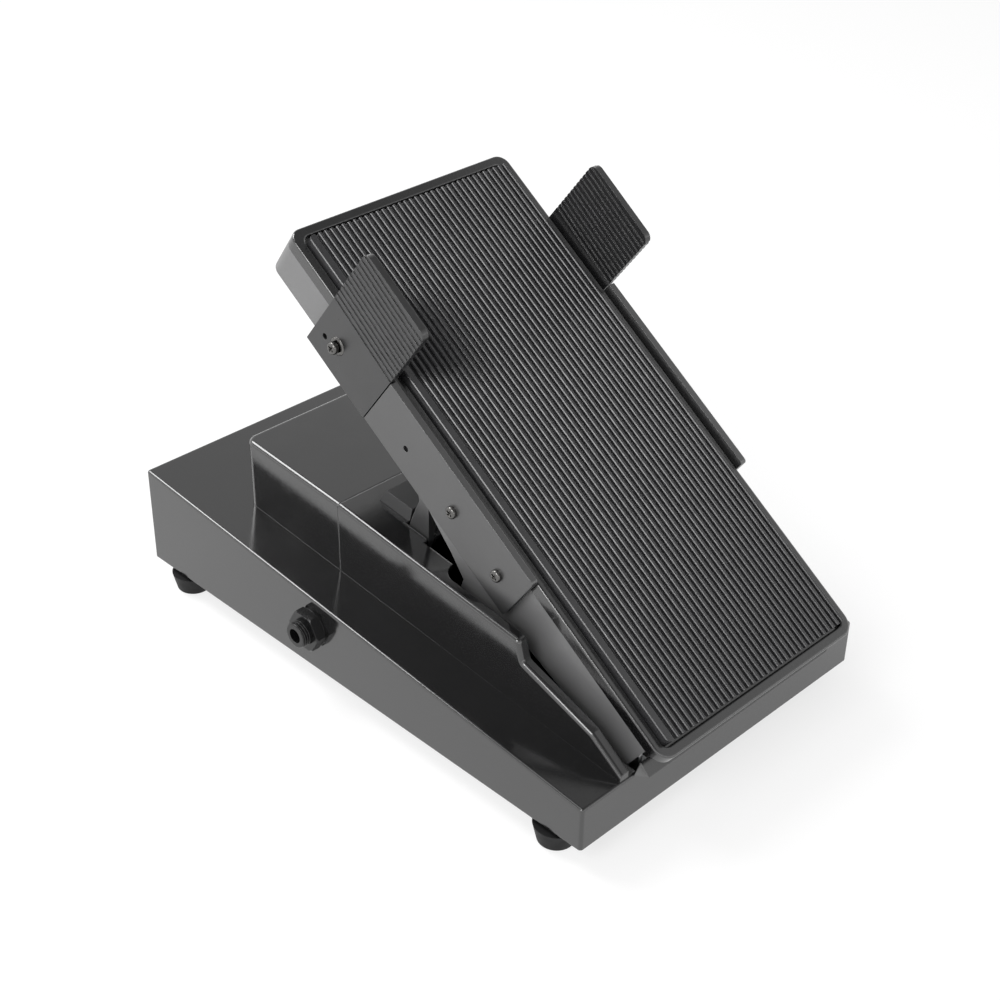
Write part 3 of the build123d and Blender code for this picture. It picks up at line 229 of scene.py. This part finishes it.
def coat(name, colour, rough, level, grain, edge, below=None, below_rough=0.4):
    """Painted or powder-coated sheet: orange peel and slightly uneven gloss.

    Where a second colour is given, the treadle's sides get it below the rim. This is a painted reflection
    of the bright surroundings, since rim and sides are one black paint.
    """
    t = Tree(name)
    patches = t.ranged(t.noise(patch_scale, 4.0, 0.6), 0.0, 1.0)
    base = t.mix(patches, shade(colour, 0.9), shade(colour, 1.12))
    if below:
        # painted reflection: lighter grey on the treadle's sides below the rim, standing in for the
        # reflected surroundings
        walls = t.mix(patches, shade(below, 0.97), shade(below, 1.03))
        rim = t.above_line(math.radians(treadle_tilt), treadle_heel, -rim_reach)
        base = t.mix(rim, walls, base)
    t.link(base, t.shader.inputs["Base Color"])
    gloss = t.sum(t.ranged(t.noise(gloss_scale, 5.0, 0.65), -gloss_change, gloss_change),
                  t.ranged(t.noise(speck_scale, 1.0), rough - speck_change, rough + speck_change))
    if below:
        gloss = t.sum(gloss, t.ranged(rim, below_rough - rough, 0.0, 0.0, 1.0))
    t.link(gloss, t.shader.inputs["Roughness"])
    t.shader.inputs["Specular IOR Level"].default_value = level
    t.shader.inputs["IOR"].default_value = paint_index
    t.relief(t.noise(1.0 / grain, 2.0, 0.5), grain * peel_depth, edge)
    return t.material


def moulded(name, colour, rough, level=0.5, grain=0.0004, depth=0.02):
    """Moulded plastic with a fine spark-eroded grain."""
    t = Tree(name)
    base = t.mix(t.ranged(t.noise(40.0, 3.0), 0.0, 1.0), shade(colour, 0.88), shade(colour, 1.15))
    t.link(base, t.shader.inputs["Base Color"])
    t.link(t.ranged(t.noise(120.0, 4.0, 0.6), rough - 0.05, rough + 0.05), t.shader.inputs["Roughness"])
    t.shader.inputs["Specular IOR Level"].default_value = level
    t.relief(t.noise(1.0 / grain, 3.0, 0.6), grain * depth, 0.0003)
    return t.material


def rubber(name, colour, rough, dust, level=0.3):
    """Moulded rubber: fine pores and a little dust in its hollows."""
    t = Tree(name)
    hollows = t.ranged(t.noise(90.0, 5.0, 0.65), 0.0, 1.0)
    base = t.mix(hollows, colour, shade(colour, dust))
    t.link(base, t.shader.inputs["Base Color"])
    t.link(t.ranged(t.noise(300.0, 3.0), rough - 0.06, rough + 0.05), t.shader.inputs["Roughness"])
    t.shader.inputs["Specular IOR Level"].default_value = level
    t.relief(t.noise(1.0 / pore_size, 3.0, 0.6), pore_size * pore_depth, 0.0003)
    return t.material


def plated(name, colour, rough):
    """Plated or brushed metal with fine scratches."""
    t = Tree(name)
    t.shader.inputs["Metallic"].default_value = 1.0
    base = t.mix(t.ranged(t.noise(70.0, 4.0), 0.0, 1.0), shade(colour, 0.86), shade(colour, 1.1))
    t.link(base, t.shader.inputs["Base Color"])
    fine = t.noise(700.0, 4.0, 0.6)
    t.link(t.ranged(fine, rough - 0.08, rough + 0.08), t.shader.inputs["Roughness"])
    t.relief(fine, 0.000004, 0.0002)
    return t.material


def nylon(name, colour):
    t = Tree(name)
    base = t.mix(t.ranged(t.noise(150.0, 3.0), 0.0, 1.0), shade(colour, 0.93), colour)
    t.link(base, t.shader.inputs["Base Color"])
    t.link(t.ranged(t.noise(500.0, 2.0), 0.38, 0.48), t.shader.inputs["Roughness"])
    t.shader.inputs["Subsurface Weight"].default_value = 0.15
    t.shader.inputs["Subsurface Radius"].default_value = (0.001, 0.001, 0.001)
    t.relief(t.noise(1800.0, 2.0), 0.00001, 0.0003)
    return t.material


def circuit_board(name, colour):
    """Green solder mask, with the slightly raised lines of the copper under it."""
    t = Tree(name)
    lines = t.add("ShaderNodeTexBrick")
    lines.inputs["Scale"].default_value = trace_scale
    lines.inputs["Mortar Size"].default_value = trace_width
    t.link(t.place, lines.inputs["Vector"])
    base = t.mix(lines.outputs["Fac"], shade(colour, 0.9), shade(colour, 1.5))
    t.link(base, t.shader.inputs["Base Color"])
    t.link(t.ranged(t.noise(300.0, 2.0), 0.24, 0.34), t.shader.inputs["Roughness"])
    t.relief(lines.outputs["Fac"], 0.00003, 0.0002)
    return t.material


def make_materials():
    return {
        "case_paint": coat("case_paint", black_coat, rough=0.13, level=0.74, grain=0.0006, edge=0.0006),
        # the treadle's sides below the rim get a painted reflection in lighter grey
        "treadle_paint": coat("treadle_paint", rim_black, rough=0.14, level=0.85, grain=0.0012, edge=0.0006,
                              below=treadle_wall_painted_reflection, below_rough=0.42),
        "kick_steel": coat("kick_steel", kick_coat, rough=0.34, level=0.9, grain=0.0005, edge=0.0004),
        "mat_rubber": rubber("mat_rubber", mat_black, rough=0.3, dust=1.4, level=0.8),
        "foot_rubber": rubber("foot_rubber", foot_black, rough=0.6, dust=1.5),
        "paddle_plastic": moulded("paddle_plastic", plastic_black, rough=0.32, level=0.85),
        "jack_plastic": moulded("jack_plastic", jack_black, rough=0.24, level=0.4,
                                grain=0.0006, depth=0.008),
        "collar_plastic": moulded("collar_plastic", plastic_black, rough=0.45, level=0.7),
        "dark_screw": plated("dark_screw", screw_nickel, rough=0.2),
        "zinc_steel": plated("zinc_steel", zinc_plate, rough=0.34),
        "nylon": nylon("nylon", nylon_white),
        "brass": plated("brass", brass_yellow, rough=0.28),
        "board": circuit_board("board", board_green),
        "switch_plastic": moulded("switch_plastic", plastic_black, rough=0.5),
    }


def dress_nodes(materials):
    """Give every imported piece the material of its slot."""
    slots = {row["node"]: row["material_slot"] for row in frame["record"]["subparts"]}
    for name, item in frame["nodes"].items():
        material = materials[slots[name]]
        if not item.material_slots:
            item.data.materials.append(material)
        for place in item.material_slots:
            place.material = material


def thread(name, mouth, along, across):
    """Helical ridge round a jack's bushing, from the wall's outer face outwards."""
    outward, side = Vector(along), Vector(across)
    up = outward.cross(side)
    count = int(thread_turns * thread_steps)
    points = []
    for step in range(count + 1):
        turn = 2 * math.pi * step / thread_steps
        fade = min(1.0, step / thread_fade_steps, (count - step) / thread_fade_steps)
        middle = thread_start + thread_pitch * step / thread_steps
        radial = side * math.cos(turn) + up * math.sin(turn)
        for shift, height in thread_profile:
            reach = thread_radius + thread_height * min(height, fade)
            points.append(Vector(mouth) + radial * reach + outward * (middle + shift * thread_pitch))
    faces = []
    for step in range(count):
        for corner in range(4):
            first = 4 * step + corner
            second = 4 * step + (corner + 1) % 4
            faces.append((first, first + 4, second + 4, second))
    faces += [(0, 1, 2, 3), (4 * count + 3, 4 * count + 2, 4 * count + 1, 4 * count)]
    mesh = bpy.data.meshes.new(name)
    mesh.from_pydata([tuple(point) for point in points], [], faces)
    mesh.update()
    item = bpy.data.objects.new(name, mesh)
    bpy.context.scene.collection.objects.link(item)
    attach(item, "base")
    return item


def jack_threads(materials):
    """Threads on the two jacks, at the walls that carry them."""
    side_low, side_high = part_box("side_jack")
    rear_low, rear_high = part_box("rear_jack")
    case_low, case_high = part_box("case_shell")
    side = [(low + high) / 2 for low, high in zip(side_low, side_high)]
    rear = [(low + high) / 2 for low, high in zip(rear_low, rear_high)]
    places = (
        ("side_jack_thread", (case_low[0], side[1], side[2]), (-1, 0, 0), (0, 1, 0)),
        ("rear_jack_thread", (rear[0], case_high[1], rear[2]), (0, 1, 0), (1, 0, 0)),
    )
    for name, mouth, along, across in places:
        item = thread(name, mouth, along, across)
        item.data.materials.append(materials["jack_plastic"])


def studio():
    """Pale floor, soft lamps and a plain world."""
    mesh = bpy.data.meshes.new("floor")
    corners = ((-1, -1), (1, -1), (1, 1), (-1, 1))
    mesh.from_pydata([(x * floor_reach, y * floor_reach, 0) for x, y in corners], [], [(0, 1, 2, 3)])
    floor = bpy.data.objects.new("floor", mesh)
    bpy.context.scene.collection.objects.link(floor)
    material = bpy.data.materials.new("floor")
    material.use_nodes = True
    tree = material.node_tree
    tree.nodes.clear()
    output = tree.nodes.new("ShaderNodeOutputMaterial")
    mixer = tree.nodes.new("ShaderNodeMixShader")
    plain = tree.nodes.new("ShaderNodeBsdfDiffuse")
    plain.inputs["Color"].default_value = (*floor_white, 1.0)
    glow = tree.nodes.new("ShaderNodeEmission")
    glow.inputs["Color"].default_value = (1, 1, 1, 1)
    glow.inputs["Strength"].default_value = 1.0
    path = tree.nodes.new("ShaderNodeLightPath")
    seen = tree.nodes.new("ShaderNodeMath")
    seen.operation = "MAXIMUM"
    tree.links.new(path.outputs["Is Camera Ray"], seen.inputs[0])
    tree.links.new(path.outputs["Is Glossy Ray"], seen.inputs[1])
    share = tree.nodes.new("ShaderNodeMath")
    share.operation = "MULTIPLY"
    share.inputs[1].default_value = floor_glow
    tree.links.new(seen.outputs[0], share.inputs[0])
    tree.links.new(share.outputs[0], mixer.inputs[0])
    tree.links.new(plain.outputs[0], mixer.inputs[1])
    tree.links.new(glow.outputs[0], mixer.inputs[2])
    tree.links.new(mixer.outputs[0], output.inputs["Surface"])
    mesh.materials.append(material)

    world = bpy.data.worlds.new("world")
    world.use_nodes = True
    tree = world.node_tree
    sky = tree.nodes["Background"]
    place = tree.nodes.new("ShaderNodeTexCoord")
    split = tree.nodes.new("ShaderNodeSeparateXYZ")
    ramp = tree.nodes.new("ShaderNodeValToRGB")
    stops = ramp.color_ramp.elements
    for index, (height, level) in enumerate(sky_bands):
        stop = stops[index] if index < 2 else stops.new(height)
        stop.position = height
        share = level / sky_strength
        stop.color = (share, share, share, 1)
    tree.links.new(place.outputs["Generated"], split.inputs[0])
    tree.links.new(split.outputs["Z"], ramp.inputs["Fac"])
    tree.links.new(ramp.outputs["Color"], sky.inputs["Color"])
    sky.inputs["Strength"].default_value = sky_strength
    bpy.context.scene.world = world

    for row in lamps:
        lamp(*row)


def lamp(name, place, target, size, power):
    data = bpy.data.lights.new(name, "AREA")
    data.shape = "SQUARE"
    data.size = size
    data.energy = power
    item = bpy.data.objects.new(name, data)
    item.location = place
    direction = Vector(target) - Vector(place)
    item.rotation_euler = direction.to_track_quat("-Z", "Y").to_euler()
    bpy.context.scene.collection.objects.link(item)


camera()
materials = make_materials()
dress_nodes(materials)
jack_threads(materials)
studio()
bpy.context.scene.view_settings.view_transform = "Standard"
